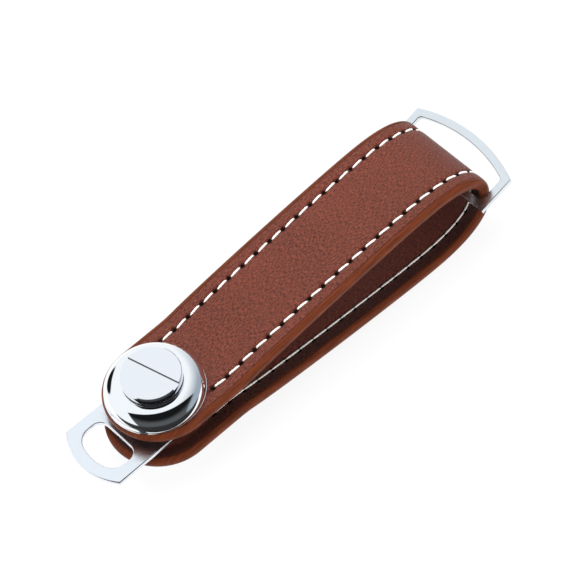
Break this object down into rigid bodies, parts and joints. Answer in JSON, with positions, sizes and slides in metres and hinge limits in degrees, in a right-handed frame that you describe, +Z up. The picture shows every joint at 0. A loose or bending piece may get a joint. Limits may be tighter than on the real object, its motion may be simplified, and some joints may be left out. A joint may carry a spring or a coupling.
{
  "type": "key organizer",
  "caption": "Lined leather strap folded into a loop and clamped by a coin-slot screw between domed caps, with a swivelling key plate at the lock and a bowed ring in the fold.",
  "frame": {"origin": "middle of the barrel post's flat foot, on the surface that the organizer lies on", "axes": "+X along the strap from the lock to the fold, +Z up along the lock's axis"},
  "size_m": [0.1169, 0.0296, 0.0239],
  "materials": {
    "leather": "fine-grained reddish brown leather, satin",
    "lining": "smooth dark brown lining, matt",
    "cap_chrome": "polished plating",
    "post_chrome": "polished plating",
    "screw_chrome": "polished plating",
    "washer_rubber": "matt black",
    "spacer_steel": "turned steel",
    "plate_chrome": "polished plating on stamped plate"
  },
  "bodies": {
    "strap": {"outer_leather": "leather", "inner_lining": "lining", "upper_cap": "cap_chrome", "lower_cap": "cap_chrome", "barrel_post": "post_chrome", "lower_spacer": "spacer_steel", "upper_spacer": "spacer_steel"},
    "key_plate": {"key_plate": "plate_chrome"},
    "fold_ring": {"fold_ring": "plate_chrome"},
    "screw_seat": {"friction_washer": "washer_rubber"},
    "lock_screw": {"lock_screw": "screw_chrome"}
  },
  "joints": [
    {"name": "plate_swivel", "type": "hinge", "parent": "strap", "child": "key_plate", "pos_m": [0, 0, 0.0114], "axis": [0, 0, 1], "continuous": true},
    {"name": "ring_flip", "type": "hinge", "parent": "strap", "child": "fold_ring", "pos_m": [0.08372, 0, 0.0114], "axis": [0, -1, 0], "range_deg": [-70, 40]},
    {"name": "screw_lift", "type": "slide", "parent": "strap", "child": "screw_seat", "axis": [0, 0, 1], "range_m": [0, 0.0104]},
    {"name": "screw_turn", "type": "hinge", "parent": "screw_seat", "child": "lock_screw", "pos_m": [0, 0, 0.0219], "axis": [0, 0, 1], "range_deg": [0, 4680]}
  ],
  "couplings": [
    {"joint": "screw_turn", "follows": "screw_lift", "rad_per_m": 7854}
  ]
}
